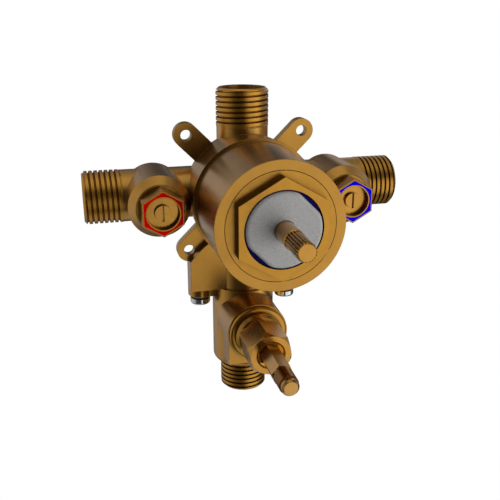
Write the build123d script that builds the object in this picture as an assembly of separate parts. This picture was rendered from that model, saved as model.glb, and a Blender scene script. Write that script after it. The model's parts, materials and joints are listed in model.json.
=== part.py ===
from build123d import *
import math
import os

# Pressure balancing shower valve with screwdriver stops and a diverter below the main barrel.
# Millimetres, +Z up. The front of the valve faces -Y, hot is on the left (-X) and cold on the right.
# The origin is on the cartridge axis, in the plane of the back faces of the four mounting ears.

# Length by which a cutter passes the surface it cuts
CUT_EXTRA = 1.0

# Pipes
PIPE_Y = 0.6
PIPE_RADIUS = 10.5
THREAD_RADIUS = 10.65
PIPE_CHAMFER = 1.1
SOCKET_RADIUS = 8.05
SOCKET_DEPTH = 12.7
ARM_THREAD_X = 50.2
ARM_END_X = 65.4
TOP_THREAD_Z = 26.6
TOP_END_Z = 41.7
MIXED_RADIUS = 5.0
INLET_RADIUS = 5.5

# Main barrel
BARREL_RADIUS = 23.8
BARREL_FRONT_Y = -56.9
RING_RADIUS = 24.9
RING_Y = -21.9
EAR_PLANE_RADIUS = 23.9
BACK_RADIUS = 17.5
BACK_Y = 12.2
BACK_ROUND = 5.0
BACK_CROWN = 1.5
RIM_BORE_DEPTH = 3.0
STAKE_DEPTH = 0.5
STAKE_OVERLAP = 0.3
STAKES = ((-39.6, -27.4), (-89.2, -82.6))
CAVITY_STEP_Y = -44.5
CAVITY_FLOOR_Y = -12.0

# Mounting ears
EAR_HOLE_OFFSET = 23.93
EAR_HOLE_RADIUS = 2.2
EAR_HALF_WIDTH = 5.0
EAR_THICKNESS = 4.0
EAR_ROOT = 12.0

# Lower blocks that carry the chrome channel screws
BLOCK_SIDE_X = 24.2
BLOCK_FRONT_Y = -7.8
BLOCK_BOTTOM_Z = -41.5
BLOCK_INNER_X = 6.0
BLOCK_TOP_EDGE = ((-16.8, -20.9), (-20.1, -23.7), (-24.2, -28.4))
SCREW_X = 19.0
SCREW_BOSS_RADIUS = 5.2
SCREW_BOSS_BOTTOM_Z = -46.4
SCREW_BOSS_ROUND = 0.7
WEB_FRONT_Y = -3.6
WEB_BACK_Y = 4.8
WEB_BOTTOM_Z = -46.0
DIVERTER_GAP = 0.05
SCREW_THREAD_RADIUS = 2.5
SCREW_THREAD_LENGTH = 8.0
SCREW_END_ROOM = 0.5
SCREW_HEAD_RADIUS = 4.3
SCREW_HEAD_HEIGHT = 2.7
SCREW_HEAD_ROUND = 1.1
SCREW_WASHER_RADIUS = 3.7
SCREW_WASHER_HEIGHT = 0.9
SCREW_SLOT_WIDTH = 1.0
SCREW_SLOT_DEPTH = 1.1

# Neck and the joint to the diverter body
NECK_RADIUS = 12.3
NECK_BOTTOM_Z = -41.7
SPIGOT_RADIUS = 8.0
SPIGOT_LENGTH = 8.0
SPIGOT_GAP = 0.03

# Service stops in the two arms
STOP_X = 37.3
STOP_BOSS_RADIUS = 12.1
STOP_BOSS_BACK_Y = 5.0
STOP_BOSS_SHOULDER_Y = -19.7
STOP_BOSS_FRONT_Y = -23.7
STOP_BOSS_FRONT_RADIUS = 9.5
STOP_BOSS_BACK_CHAMFER = 0.8
STOP_THREAD_RADIUS = 9.0
STOP_CHAMBER_RADIUS = 8.0
STOP_SHANK_END_Y = -13.0
STOP_THREAD_EXTRA = 0.5
INLET_OVERLAP = 1.5
STOP_SEAT_Y = 0.8
STOP_SEAT_RADIUS = 4.5
STOP_HEX_RADIUS = 8.98
STOP_HEX_FRONT_Y = -31.0
STOP_HEX_CHAMFER = 0.3
STOP_CONE_FRONT_Y = -26.4
STOP_CONE_FRONT_RADIUS = 7.7
STOP_CONE_BACK_RADIUS = 9.3
STOP_MARK_BORDER = 0.38
STOP_MARK_INNER_RADIUS = 6.5
STOP_MARK_THICKNESS = 0.4
STOP_BORE_RADIUS = 6.05
STOP_SPINDLE_RADIUS = 6.0
STOP_FLOOR_DEPTH = 2.4
STOP_SPINDLE_BACK_Y = -14.0
STOP_SPIGOT_RADIUS = 3.0
STOP_DISC_RADIUS = 3.05
STOP_DISC_HEIGHT = 1.4
STOP_SLOT_WIDTH = 0.7
STOP_SLOT_DEPTH = 0.9
STOP_SLOT_LENGTH = 6.0
STOP_SPIGOT_LENGTH = 2.0
STOP_SPIGOT_CLEARANCE = 0.05
STOP_PLUNGER_RADIUS = 7.0
STOP_PLUNGER_FRONT_Y = -10.0
STOP_PLUNGER_BACK_Y = -5.5
STOP_WASHER_RADIUS = 6.4
STOP_WASHER_BACK_Y = -3.0
FEED_Y = 4.5
FEED_RADIUS = 3.5

# Retaining nut
NUT_HEX_RADIUS = 18.56
NUT_FRONT_Y = -60.6
NUT_SHANK_END_Y = -45.0

# Cartridge
HOUSING_NECK_RADIUS = 13.95
HOUSING_NECK_CLEARANCE = 0.25
NUT_BORE_RADIUS = HOUSING_NECK_RADIUS + HOUSING_NECK_CLEARANCE
HOUSING_RADIUS = 16.9
HOUSING_WALL = 2.4
HOUSING_CLEARANCE = 0.1
CAVITY_RADIUS = HOUSING_RADIUS + HOUSING_CLEARANCE
NUT_THREAD_STEP = 1.6
THREAD_CLEARANCE = 0.05
THREAD_BORE_RADIUS = CAVITY_RADIUS + NUT_THREAD_STEP
NUT_SHANK_RADIUS = THREAD_BORE_RADIUS - THREAD_CLEARANCE
NUT_FLANGE_STEP = 1.45
NUT_FLANGE_RADIUS = NUT_SHANK_RADIUS + NUT_FLANGE_STEP
RIM_CLEARANCE = 0.15
RIM_BORE_RADIUS = NUT_FLANGE_RADIUS + RIM_CLEARANCE
HOUSING_FRONT_Y = -59.8
HOUSING_BACK_Y = -14.0
HOUSING_BORE_RADIUS = HOUSING_RADIUS - HOUSING_WALL
HOUSING_BORE_FRONT_Y = -43.5
HOUSING_GROOVES_Y = (-40.0, -18.0)
HOUSING_GROOVE_DEPTH = 1.3
RING_SECTION = 0.7
STEM_BORE_RADIUS = 3.76
STEM_GROOVE_RADIUS = 5.2
STEM_GROOVE_Y = -53.0
CAP_STEP = 0.25
CAP_RADIUS = HOUSING_NECK_RADIUS - CAP_STEP
CAP_FLAT_CUT = 1.1
CAP_FLAT = CAP_RADIUS - CAP_FLAT_CUT
CAP_CORNER = 5.5
CAP_TURN = 45.0
CAP_FRONT_Y = -61.5
CAP_ROUND = 1.3
CAP_BORE_RADIUS = 3.8
FILL_RADIUS = HOUSING_BORE_RADIUS - THREAD_CLEARANCE
PORT_RADIUS = 2.8
PORT_WALL = 1.7
PORT_X = HOUSING_BORE_RADIUS - PORT_WALL - PORT_RADIUS
MIXED_PORT_WALL = 2.2
MIXED_PORT_Z = -(HOUSING_BORE_RADIUS - MIXED_PORT_WALL - PORT_RADIUS)
FEED_OVERRUN = 2.5
FEED_END_X = PORT_X - FEED_OVERRUN
PORT_SEAL_RADIUS = 4.0
BASE_FRONT_Y = -19.0
BALANCE_FRONT_Y = -32.0
BALANCE_AXIS_Y = -25.5
SLEEVE_RADIUS = 5.0
SLEEVE_CLEARANCE = 0.02
SLEEVE_BORE = 3.5
SLEEVE_END_GAP = 1.5
SLEEVE_HALF_LENGTH = HOUSING_BORE_RADIUS - SLEEVE_END_GAP
SLEEVE_PORT_RADIUS = 1.8
SPOOL_RADIUS = 3.46
SPOOL_NECK_RADIUS = 2.2
SPOOL_END_ROOM = 2.5
SPOOL_LAND_LENGTH = 3.5
SPOOL_HALF_LENGTH = SLEEVE_HALF_LENGTH - SPOOL_END_ROOM
SPOOL_END_LAND = SPOOL_HALF_LENGTH - SPOOL_LAND_LENGTH
SPOOL_MIDDLE_LAND = 2.0
PORT_DISC_FRONT_Y = -36.0
ROTOR_BACK_Y = -36.05
ROTOR_FRONT_Y = -40.0
ROTOR_CLEARANCE = 0.2
ROTOR_RADIUS = HOUSING_BORE_RADIUS - ROTOR_CLEARANCE
ROTOR_POCKET_DEPTH = 2.0
ROTOR_POCKET_EDGE = 3.8

# Cartridge stem
STEM_RADIUS = 3.7
STEM_SHOULDER_Y = -72.0
STEM_END_Y = -84.7
STEM_SHOULDER_CHAMFER = 0.35
STEM_FLANGE_RADIUS = 9.0
STEM_FLANGE_FRONT_Y = -43.0
SPLINE_COUNT = 20
SPLINE_CREST_RADIUS = 3.4
SPLINE_ROOT_RADIUS = 2.85
SPLINE_CREST_SHARE = 0.18
STEM_END_CHAMFER = 0.5
TANG_LENGTH = 14.0
TANG_WIDTH = 4.0
TANG_DEPTH = 1.4

# Diverter body
DIVERTER_RADIUS = 13.3
DIVERTER_Z = -55.0
DIVERTER_BOTTOM_Z = -78.0
DIVERTER_ROUND = 3.0
OUTLET_RADIUS = 10.05
OUTLET_END_Z = -91.2
OUTLET_SOCKET_RADIUS = 7.45
OUTLET_SOCKET_DEPTH = 9.0
BOSS_RADIUS = 12.6
BOSS_FRONT_Y = -25.4
BOSS_RECESS_RADIUS = 12.05
BOSS_RECESS_DEPTH = 1.0
FOOT_HALF_WIDTH = 10.8
FOOT_FRONT_Y = -18.8
FOOT_BOTTOM_Z = -71.9
CHAMBER_RADIUS = 8.2
CHAMBER_BACK_Y = 9.0
BONNET_THREAD_RADIUS = 9.4

# Diverter bonnet and spindle
HEX_TURN = 10.0
GLAND_RADIUS = 11.9
GLAND_FRONT_Y = -27.0
GLAND_ROUND = 1.0
GLAND_MOUTH_RADIUS = 10.4
GLAND_MOUTH_DEPTH = 1.0
COLLAR_RADIUS = 9.85
COLLAR_FRONT_Y = -29.6
COLLAR_CHAMFER = 1.1
BONNET_HEX_RADIUS = 9.4
BONNET_HEX_SHOULDER_Y = -43.7
BONNET_FRONT_Y = -45.8
BONNET_FACE_RADIUS = 8.05
BONNET_BACK_RADIUS = 8.7
BONNET_BACK_LENGTH = 0.8
BONNET_SHANK_END_Y = -15.5
BONNET_BORE_RADIUS = 5.0
BONNET_MOUTH_RADIUS = 5.85
BONNET_MOUTH_DEPTH = 0.6
BONNET_HOLE_RADIUS = 5.25
BONNET_BORE_FRONT_Y = -37.6
BONNET_SEAL_SECTION = 0.8
SPINDLE_RADIUS = 4.94
SPINDLE_FRONT_Y = -37.6
SPINDLE_NECK_RADIUS = 3.0
SPINDLE_HEX_RADIUS = 4.33
SPINDLE_HEX_TURN = 20.5
SPINDLE_HEX_BACK_Y = -45.0
SPINDLE_HEX_FRONT_Y = -61.4
SPINDLE_TIP_RADIUS = 3.75
SPINDLE_THREAD_END_Y = -69.3
SPINDLE_THREAD_CHAMFER = 0.4
SPINDLE_END_RADIUS = 3.35
SPINDLE_TIP_FRONT_Y = -71.5
SPINDLE_TIP_CHAMFER = 0.75
SPINDLE_GROOVE_Y = -30.0
SPINDLE_FLANGE_RADIUS = 7.5
SPINDLE_FLANGE_FRONT_Y = -15.0
PLUG_RADIUS = 8.13
PLUG_FRONT_Y = -12.0
PLUG_BACK_Y = 8.8
PLUG_TANG_LENGTH = 12.0


def rod_y(radius, front, back, x=0.0, z=0.0):
    """Round bar along Y between two Y planes."""
    return Pos(x, (front + back) / 2, z) * Rot(90, 0, 0) * Cylinder(radius, back - front)


def rod_x(radius, start, end, y=PIPE_Y, z=0.0):
    """Round bar along X between two X planes."""
    return Pos((start + end) / 2, y, z) * Rot(0, 90, 0) * Cylinder(radius, end - start)


def rod_z(radius, bottom, top, x=0.0, y=PIPE_Y):
    """Round bar along Z between two heights."""
    return Pos(x, y, (bottom + top) / 2) * Cylinder(radius, top - bottom)


def turned_y(profile, x=0.0, z=0.0):
    """Turn a closed (radius, y) profile about a Y axis."""
    outline = Polyline(*profile, close=True)
    return Pos(x, 0, z) * revolve(make_face(outline), axis=Axis.Y)


def turned_z(profile, x=0.0, y=PIPE_Y):
    """Turn a closed (radius, z) profile about a Z axis."""
    outline = Plane.XZ * Polyline(*profile, close=True)
    return Pos(x, y, 0) * revolve(make_face(outline), axis=Axis.Z)


def turned_x(profile, y=PIPE_Y, z=0.0):
    """Turn a closed (x, radius) profile about an X axis."""
    outline = Polyline(*profile, close=True)
    return Pos(0, y, z) * revolve(make_face(outline), axis=Axis.X)


def hex_bar(corner_radius, front, back, turn=0.0, x=0.0, z=0.0):
    """Hexagonal bar along Y, a corner up when turn is zero."""
    sketch = Plane.XZ.offset(-back) * RegularPolygon(corner_radius, 6, rotation=30 + turn)
    return Pos(x, 0, z) * extrude(sketch, amount=back - front)


def ring_y(inner, section, y, x=0.0, z=0.0):
    """Round-section seal ring about a Y axis, given its inner radius and section radius."""
    return Pos(x, y, z) * Rot(90, 0, 0) * Torus(inner + section, section)


def box_between(low, high):
    """Box from its low and high corners."""
    size = [b - a for a, b in zip(low, high)]
    centre = [(a + b) / 2 for a, b in zip(low, high)]
    return Pos(*centre) * Box(*size)


def pipe_end_profile(start, thread, end):
    """(position, radius) profile of a plain pipe with a threaded, chamfered free end."""
    return [
        (start, 0),
        (start, PIPE_RADIUS),
        (thread, PIPE_RADIUS),
        (thread, THREAD_RADIUS),
        (end - PIPE_CHAMFER, THREAD_RADIUS),
        (end, THREAD_RADIUS - PIPE_CHAMFER),
        (end, 0),
    ]


def barrel():
    """Main barrel: round front part, a narrow shoulder ring, then a taper to the rounded back."""
    profile = [
        (0, BARREL_FRONT_Y),
        (BARREL_RADIUS, BARREL_FRONT_Y),
        (BARREL_RADIUS, RING_Y),
        (RING_RADIUS, RING_Y),
        (EAR_PLANE_RADIUS, 0),
        (BACK_RADIUS + BACK_CROWN, BACK_Y - BACK_ROUND),
        (BACK_RADIUS - BACK_ROUND, BACK_Y),
        (0, BACK_Y),
    ]
    return turned_y(profile)


def arm(side):
    """One inlet arm with its stop boss; side is -1 for hot and +1 for cold."""
    pipe = turned_x([(side * x, r) for x, r in pipe_end_profile(0, ARM_THREAD_X, ARM_END_X)])
    boss = turned_y(
        [
            (0, STOP_BOSS_FRONT_Y),
            (STOP_BOSS_FRONT_RADIUS, STOP_BOSS_FRONT_Y),
            (STOP_BOSS_RADIUS, STOP_BOSS_SHOULDER_Y),
            (STOP_BOSS_RADIUS, STOP_BOSS_BACK_Y - STOP_BOSS_BACK_CHAMFER),
            (STOP_BOSS_RADIUS - STOP_BOSS_BACK_CHAMFER, STOP_BOSS_BACK_Y),
            (0, STOP_BOSS_BACK_Y),
        ],
        x=side * STOP_X,
    )
    return pipe + boss


def arm_bores(side):
    """Everything bored out of one arm, from the socket to the port in the cavity floor."""
    x = side * STOP_X
    ends = sorted((side * ARM_END_X, side * (ARM_END_X - SOCKET_DEPTH)))
    inlet = sorted((side * (ARM_END_X - SOCKET_DEPTH), side * (STOP_X + STOP_CHAMBER_RADIUS - INLET_OVERLAP)))
    feed = sorted((side * FEED_END_X, x))
    bores = rod_x(SOCKET_RADIUS, *ends)
    bores += rod_x(INLET_RADIUS, *inlet)
    bores += rod_y(STOP_THREAD_RADIUS, STOP_BOSS_FRONT_Y, STOP_SHANK_END_Y + STOP_THREAD_EXTRA, x)
    bores += rod_y(STOP_CHAMBER_RADIUS, STOP_SHANK_END_Y, STOP_SEAT_Y, x)
    bores += rod_y(STOP_SEAT_RADIUS, STOP_SEAT_Y, FEED_Y, x)
    bores += rod_x(FEED_RADIUS, *feed, y=FEED_Y)
    bores += rod_y(PORT_RADIUS, CAVITY_FLOOR_Y, FEED_Y, side * PORT_X)
    return bores


def ear(angle):
    """One flat mounting ear with a rounded end, pointing out at the given angle."""
    reach = EAR_HOLE_OFFSET * math.sqrt(2)
    centre = (EAR_ROOT + reach) / 2
    length = reach - EAR_ROOT + 2 * EAR_HALF_WIDTH
    outline = Pos(centre, 0) * SlotOverall(length, 2 * EAR_HALF_WIDTH)
    hole = Pos(reach, 0) * Circle(EAR_HOLE_RADIUS)
    return extrude(Plane.XZ * Rot(0, 0, angle) * outline, amount=EAR_THICKNESS), extrude(
        Plane.XZ * Rot(0, 0, angle) * hole, amount=EAR_THICKNESS
    )


def lower_block(side):
    """Block under one lower ear, with the round boss that takes a channel screw."""
    inner, middle, outer = [(-side * x, z) for x, z in BLOCK_TOP_EDGE]
    top = ThreePointArc(inner, middle, outer)
    rest = Polyline(
        outer,
        (side * BLOCK_SIDE_X, BLOCK_BOTTOM_Z),
        (side * BLOCK_INNER_X, BLOCK_BOTTOM_Z),
        (side * BLOCK_INNER_X, -NECK_RADIUS),
        inner,
    )
    face = Plane.XZ.offset(-PIPE_Y) * make_face(top + rest)
    block = extrude(face, amount=PIPE_Y - BLOCK_FRONT_Y)
    boss = turned_z(
        [
            (0, BLOCK_TOP_EDGE[2][1]),
            (SCREW_BOSS_RADIUS, BLOCK_TOP_EDGE[2][1]),
            (SCREW_BOSS_RADIUS, SCREW_BOSS_BOTTOM_Z + SCREW_BOSS_ROUND),
            (SCREW_BOSS_RADIUS - SCREW_BOSS_ROUND, SCREW_BOSS_BOTTOM_Z),
            (0, SCREW_BOSS_BOTTOM_Z),
        ],
        x=side * SCREW_X,
    )
    near, far = sorted((side * SCREW_X, side * BLOCK_INNER_X))
    web = box_between((near, WEB_FRONT_Y, WEB_BOTTOM_Z), (far, WEB_BACK_Y, BLOCK_BOTTOM_Z))
    web -= rod_z(DIVERTER_RADIUS + DIVERTER_GAP, WEB_BOTTOM_Z, NECK_BOTTOM_Z)
    hole_top = SCREW_BOSS_BOTTOM_Z + SCREW_THREAD_LENGTH
    hole = rod_z(SCREW_THREAD_RADIUS, SCREW_BOSS_BOTTOM_Z, hole_top, side * SCREW_X)
    return block + boss + web, hole


def stake_mark(start, end):
    """Short stretch of the rim pressed in against the nut's flange, between two angles."""
    sector = Polyline(
        (0, 0),
        (2 * BARREL_RADIUS * math.cos(math.radians(start)), 2 * BARREL_RADIUS * math.sin(math.radians(start))),
        (2 * BARREL_RADIUS * math.cos(math.radians(end)), 2 * BARREL_RADIUS * math.sin(math.radians(end))),
        close=True,
    )
    ring = Circle(RIM_BORE_RADIUS + STAKE_OVERLAP) - Circle(NUT_FLANGE_RADIUS)
    return extrude(Plane.XZ.offset(-BARREL_FRONT_Y) * (ring & make_face(sector)), amount=-STAKE_DEPTH)


def valve_body():
    """Cast brass body: barrel, top outlet, two arms, four ears, two lower blocks and the neck."""
    body = barrel()
    body += turned_z([(r, z) for z, r in pipe_end_profile(0, TOP_THREAD_Z, TOP_END_Z)])
    body += rod_z(NECK_RADIUS, NECK_BOTTOM_Z, 0)
    cuts = rod_z(MIXED_RADIUS, NECK_BOTTOM_Z, TOP_END_Z)
    cuts += rod_z(SOCKET_RADIUS, TOP_END_Z - SOCKET_DEPTH, TOP_END_Z)
    cuts += rod_z(SPIGOT_RADIUS + SPIGOT_GAP, NECK_BOTTOM_Z, NECK_BOTTOM_Z + SPIGOT_LENGTH)
    for side in (-1, 1):
        block, screw_hole = lower_block(side)
        body += arm(side)
        body += block
        cuts += arm_bores(side)
        cuts += screw_hole
    for angle in (45, 135, 225, 315):
        plate, hole = ear(angle)
        body += plate
        cuts += hole
    cuts += rod_y(RIM_BORE_RADIUS, BARREL_FRONT_Y, BARREL_FRONT_Y + RIM_BORE_DEPTH)
    cuts += rod_y(THREAD_BORE_RADIUS, BARREL_FRONT_Y, CAVITY_STEP_Y)
    cuts += rod_y(CAVITY_RADIUS, CAVITY_STEP_Y, CAVITY_FLOOR_Y)
    cuts += rod_y(PORT_RADIUS, CAVITY_FLOOR_Y, PIPE_Y, 0, MIXED_PORT_Z)
    body -= cuts
    for start, end in STAKES:
        body += stake_mark(start, end)
    return body


def diverter_body():
    """Lower casting: upright barrel, forward boss with a square foot, and the bottom outlet."""
    upright = turned_z(
        [
            (0, NECK_BOTTOM_Z),
            (DIVERTER_RADIUS, NECK_BOTTOM_Z),
            (DIVERTER_RADIUS, DIVERTER_BOTTOM_Z),
            (0, DIVERTER_BOTTOM_Z),
        ]
    )
    lower_edge = upright.edges().filter_by(GeomType.CIRCLE).sort_by(Axis.Z)[0]
    upright = fillet(lower_edge, DIVERTER_ROUND)
    boss = rod_y(BOSS_RADIUS, BOSS_FRONT_Y, PIPE_Y, 0, DIVERTER_Z)
    foot = box_between(
        (-FOOT_HALF_WIDTH, FOOT_FRONT_Y, FOOT_BOTTOM_Z),
        (FOOT_HALF_WIDTH, PIPE_Y, DIVERTER_Z),
    )
    outlet = turned_z(
        [
            (0, DIVERTER_BOTTOM_Z),
            (OUTLET_RADIUS, DIVERTER_BOTTOM_Z),
            (OUTLET_RADIUS, OUTLET_END_Z + PIPE_CHAMFER),
            (OUTLET_RADIUS - PIPE_CHAMFER, OUTLET_END_Z),
            (0, OUTLET_END_Z),
        ]
    )
    spigot = rod_z(SPIGOT_RADIUS, NECK_BOTTOM_Z, NECK_BOTTOM_Z + SPIGOT_LENGTH)
    body = upright + boss + foot + outlet + spigot
    body -= rod_y(BOSS_RECESS_RADIUS, BOSS_FRONT_Y, BOSS_FRONT_Y + BOSS_RECESS_DEPTH, 0, DIVERTER_Z)
    body -= rod_y(BONNET_THREAD_RADIUS, BOSS_FRONT_Y, BONNET_SHANK_END_Y, 0, DIVERTER_Z)
    body -= rod_y(CHAMBER_RADIUS, BONNET_SHANK_END_Y, CHAMBER_BACK_Y, 0, DIVERTER_Z)
    body -= rod_z(MIXED_RADIUS, OUTLET_END_Z, NECK_BOTTOM_Z + SPIGOT_LENGTH)
    body -= rod_z(OUTLET_SOCKET_RADIUS, OUTLET_END_Z, OUTLET_END_Z + OUTLET_SOCKET_DEPTH)
    return body


def retaining_nut():
    """Hexagonal nut with a flush round flange and a threaded shank that clamps the cartridge."""
    nut = hex_bar(NUT_HEX_RADIUS, NUT_FRONT_Y, BARREL_FRONT_Y)
    nut += rod_y(NUT_FLANGE_RADIUS, BARREL_FRONT_Y, BARREL_FRONT_Y + RIM_BORE_DEPTH)
    nut += rod_y(NUT_SHANK_RADIUS, BARREL_FRONT_Y, NUT_SHANK_END_Y)
    return nut - rod_y(NUT_BORE_RADIUS, NUT_FRONT_Y, NUT_SHANK_END_Y)


def cartridge_housing():
    """Navy plastic shell: a neck through the nut and a wider, open-backed body with seal grooves."""
    shell = rod_y(HOUSING_NECK_RADIUS, HOUSING_FRONT_Y, NUT_SHANK_END_Y)
    shell += rod_y(HOUSING_RADIUS, NUT_SHANK_END_Y, HOUSING_BACK_Y)
    shell -= rod_y(HOUSING_BORE_RADIUS, HOUSING_BORE_FRONT_Y, HOUSING_BACK_Y)
    shell -= rod_y(STEM_BORE_RADIUS, HOUSING_FRONT_Y, HOUSING_BORE_FRONT_Y)
    shell -= rod_y(STEM_GROOVE_RADIUS, STEM_GROOVE_Y - RING_SECTION, STEM_GROOVE_Y + RING_SECTION)
    for y in HOUSING_GROOVES_Y:
        groove = rod_y(HOUSING_RADIUS + CUT_EXTRA, y - RING_SECTION, y + RING_SECTION)
        shell -= groove - rod_y(HOUSING_RADIUS - HOUSING_GROOVE_DEPTH, y - RING_SECTION, y + RING_SECTION)
    return shell


def cartridge_cap():
    """Grey front disc with a rounded edge and two softened flats, upper right and lower left."""
    outline = Circle(CAP_RADIUS) & Rectangle(2 * CAP_FLAT, 2 * CAP_RADIUS + CUT_EXTRA)
    outline = Rot(0, 0, CAP_TURN) * fillet(outline.vertices(), CAP_CORNER)
    cap = extrude(Plane.XZ.offset(-HOUSING_FRONT_Y) * outline, amount=HOUSING_FRONT_Y - CAP_FRONT_Y)
    front_edges = cap.faces().sort_by(Axis.Y)[0].edges()
    cap = fillet(front_edges, CAP_ROUND)
    return cap - rod_y(CAP_BORE_RADIUS, CAP_FRONT_Y, HOUSING_FRONT_Y)


def ported_disc(front, back):
    """Round plate inside the housing with hot, cold and mixed ports through it."""
    disc = rod_y(FILL_RADIUS, front, back)
    for x, z in ((-PORT_X, 0), (PORT_X, 0), (0, MIXED_PORT_Z)):
        disc -= rod_y(PORT_RADIUS, front, back, x, z)
    return disc


def balance_block():
    """Block with a cross bore that holds the balance sleeve."""
    return ported_disc(BALANCE_FRONT_Y, BASE_FRONT_Y) - rod_x(
        SLEEVE_RADIUS + SLEEVE_CLEARANCE, -HOUSING_RADIUS, HOUSING_RADIUS, y=BALANCE_AXIS_Y
    )


def balance_sleeve():
    """Sleeve with cross ports in line with the hot and cold passages."""
    sleeve = rod_x(SLEEVE_RADIUS, -SLEEVE_HALF_LENGTH, SLEEVE_HALF_LENGTH, y=BALANCE_AXIS_Y)
    sleeve -= rod_x(SLEEVE_BORE, -SLEEVE_HALF_LENGTH, SLEEVE_HALF_LENGTH, y=BALANCE_AXIS_Y)
    for side in (-1, 1):
        sleeve -= rod_y(
            SLEEVE_PORT_RADIUS,
            BALANCE_AXIS_Y - SLEEVE_RADIUS,
            BALANCE_AXIS_Y + SLEEVE_RADIUS,
            side * PORT_X,
        )
    return sleeve


def balance_spool():
    """Sliding spool with three lands, which the two supply pressures push to and fro."""
    half = [
        (0, SPOOL_RADIUS),
        (SPOOL_MIDDLE_LAND, SPOOL_RADIUS),
        (SPOOL_MIDDLE_LAND, SPOOL_NECK_RADIUS),
        (SPOOL_END_LAND, SPOOL_NECK_RADIUS),
        (SPOOL_END_LAND, SPOOL_RADIUS),
        (SPOOL_HALF_LENGTH, SPOOL_RADIUS),
        (SPOOL_HALF_LENGTH, 0),
    ]
    mirrored = [(-x, r) for x, r in reversed(half[1:])]
    return turned_x(mirrored + half[1:], y=BALANCE_AXIS_Y)


def rotor_disc():
    """Turning disc with a pocket that joins the ports, driven by the tang of the stem."""
    disc = rod_y(ROTOR_RADIUS, ROTOR_FRONT_Y, ROTOR_BACK_Y)
    pocket = rod_y(PORT_X + PORT_RADIUS, ROTOR_BACK_Y - ROTOR_POCKET_DEPTH, ROTOR_BACK_Y)
    pocket &= box_between((-ROTOR_RADIUS, ROTOR_FRONT_Y, -ROTOR_RADIUS), (ROTOR_RADIUS, 0, -ROTOR_POCKET_EDGE))
    slot = box_between(
        (-TANG_LENGTH / 2, ROTOR_FRONT_Y, -TANG_WIDTH / 2),
        (TANG_LENGTH / 2, ROTOR_FRONT_Y + TANG_DEPTH, TANG_WIDTH / 2),
    )
    return disc - pocket - slot


def cartridge_stem():
    """Brass stem: tang and flange inside, plain round part, then a splined end for the handle."""
    stem = rod_y(STEM_FLANGE_RADIUS, STEM_FLANGE_FRONT_Y, ROTOR_FRONT_Y)
    stem += turned_y(
        [
            (0, STEM_SHOULDER_Y),
            (STEM_RADIUS - STEM_SHOULDER_CHAMFER, STEM_SHOULDER_Y),
            (STEM_RADIUS, STEM_SHOULDER_Y + STEM_SHOULDER_CHAMFER),
            (STEM_RADIUS, STEM_FLANGE_FRONT_Y),
            (0, STEM_FLANGE_FRONT_Y),
        ]
    )
    stem += box_between(
        (-TANG_LENGTH / 2, ROTOR_FRONT_Y, -TANG_WIDTH / 2),
        (TANG_LENGTH / 2, ROTOR_FRONT_Y + TANG_DEPTH, TANG_WIDTH / 2),
    )
    step = 2 * math.pi / SPLINE_COUNT
    points = []
    for tooth in range(SPLINE_COUNT):
        for share, radius in (
            (-SPLINE_CREST_SHARE, SPLINE_CREST_RADIUS),
            (SPLINE_CREST_SHARE, SPLINE_CREST_RADIUS),
            (0.5, SPLINE_ROOT_RADIUS),
        ):
            angle = (tooth + share) * step
            points.append((radius * math.cos(angle), radius * math.sin(angle)))
    section = make_face(Polyline(*points, close=True))
    spline = extrude(Plane.XZ.offset(-STEM_SHOULDER_Y) * section, amount=STEM_SHOULDER_Y - STEM_END_Y)
    nose = turned_y(
        [
            (0, STEM_END_Y),
            (SPLINE_CREST_RADIUS - STEM_END_CHAMFER, STEM_END_Y),
            (SPLINE_CREST_RADIUS, STEM_END_Y + STEM_END_CHAMFER),
            (SPLINE_CREST_RADIUS, STEM_SHOULDER_Y),
            (0, STEM_SHOULDER_Y),
        ]
    )
    return stem + (spline & nose)


def stop_cap(side):
    """Hexagonal stop cap on a conical collar, with a threaded shank and a recess for its colour ring."""
    x = side * STOP_X
    cap = hex_bar(STOP_HEX_RADIUS, STOP_HEX_FRONT_Y, STOP_BOSS_FRONT_Y, x=x)
    front_edges = cap.faces().sort_by(Axis.Y)[0].edges()
    cap = chamfer(front_edges, STOP_HEX_CHAMFER)
    cap += turned_y(
        [
            (0, STOP_CONE_FRONT_Y),
            (STOP_CONE_FRONT_RADIUS, STOP_CONE_FRONT_Y),
            (STOP_CONE_BACK_RADIUS, STOP_BOSS_FRONT_Y),
            (0, STOP_BOSS_FRONT_Y),
        ],
        x=x,
    )
    cap += rod_y(STOP_THREAD_RADIUS, STOP_BOSS_FRONT_Y, STOP_SHANK_END_Y, x)
    cap -= stop_mark(side)
    return cap - rod_y(STOP_BORE_RADIUS, STOP_HEX_FRONT_Y, STOP_SHANK_END_Y, x)


def stop_mark(side):
    """Colour ring let into the face of a stop cap: hexagonal outside, round inside."""
    x = side * STOP_X
    back = STOP_HEX_FRONT_Y + STOP_MARK_THICKNESS
    corner = STOP_HEX_RADIUS - STOP_HEX_CHAMFER - STOP_MARK_BORDER
    mark = hex_bar(corner, STOP_HEX_FRONT_Y, back, x=x)
    return mark - rod_y(STOP_MARK_INNER_RADIUS, STOP_HEX_FRONT_Y, back, x)


def stop_screw(side):
    """Slotted stop screw: the raised disc and slot seen in the cap, and the spigot behind."""
    x = side * STOP_X
    floor = STOP_HEX_FRONT_Y + STOP_FLOOR_DEPTH
    screw = rod_y(STOP_SPINDLE_RADIUS, floor, STOP_SPINDLE_BACK_Y, x)
    screw += rod_y(STOP_DISC_RADIUS, floor - STOP_DISC_HEIGHT, floor, x)
    screw += rod_y(STOP_SPIGOT_RADIUS, STOP_SPINDLE_BACK_Y, STOP_PLUNGER_FRONT_Y + STOP_SPIGOT_LENGTH, x)
    slot_top = floor - STOP_DISC_HEIGHT
    return screw - box_between(
        (x - STOP_SLOT_WIDTH / 2, slot_top, -STOP_SLOT_LENGTH / 2),
        (x + STOP_SLOT_WIDTH / 2, slot_top + STOP_SLOT_DEPTH, STOP_SLOT_LENGTH / 2),
    )


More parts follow.
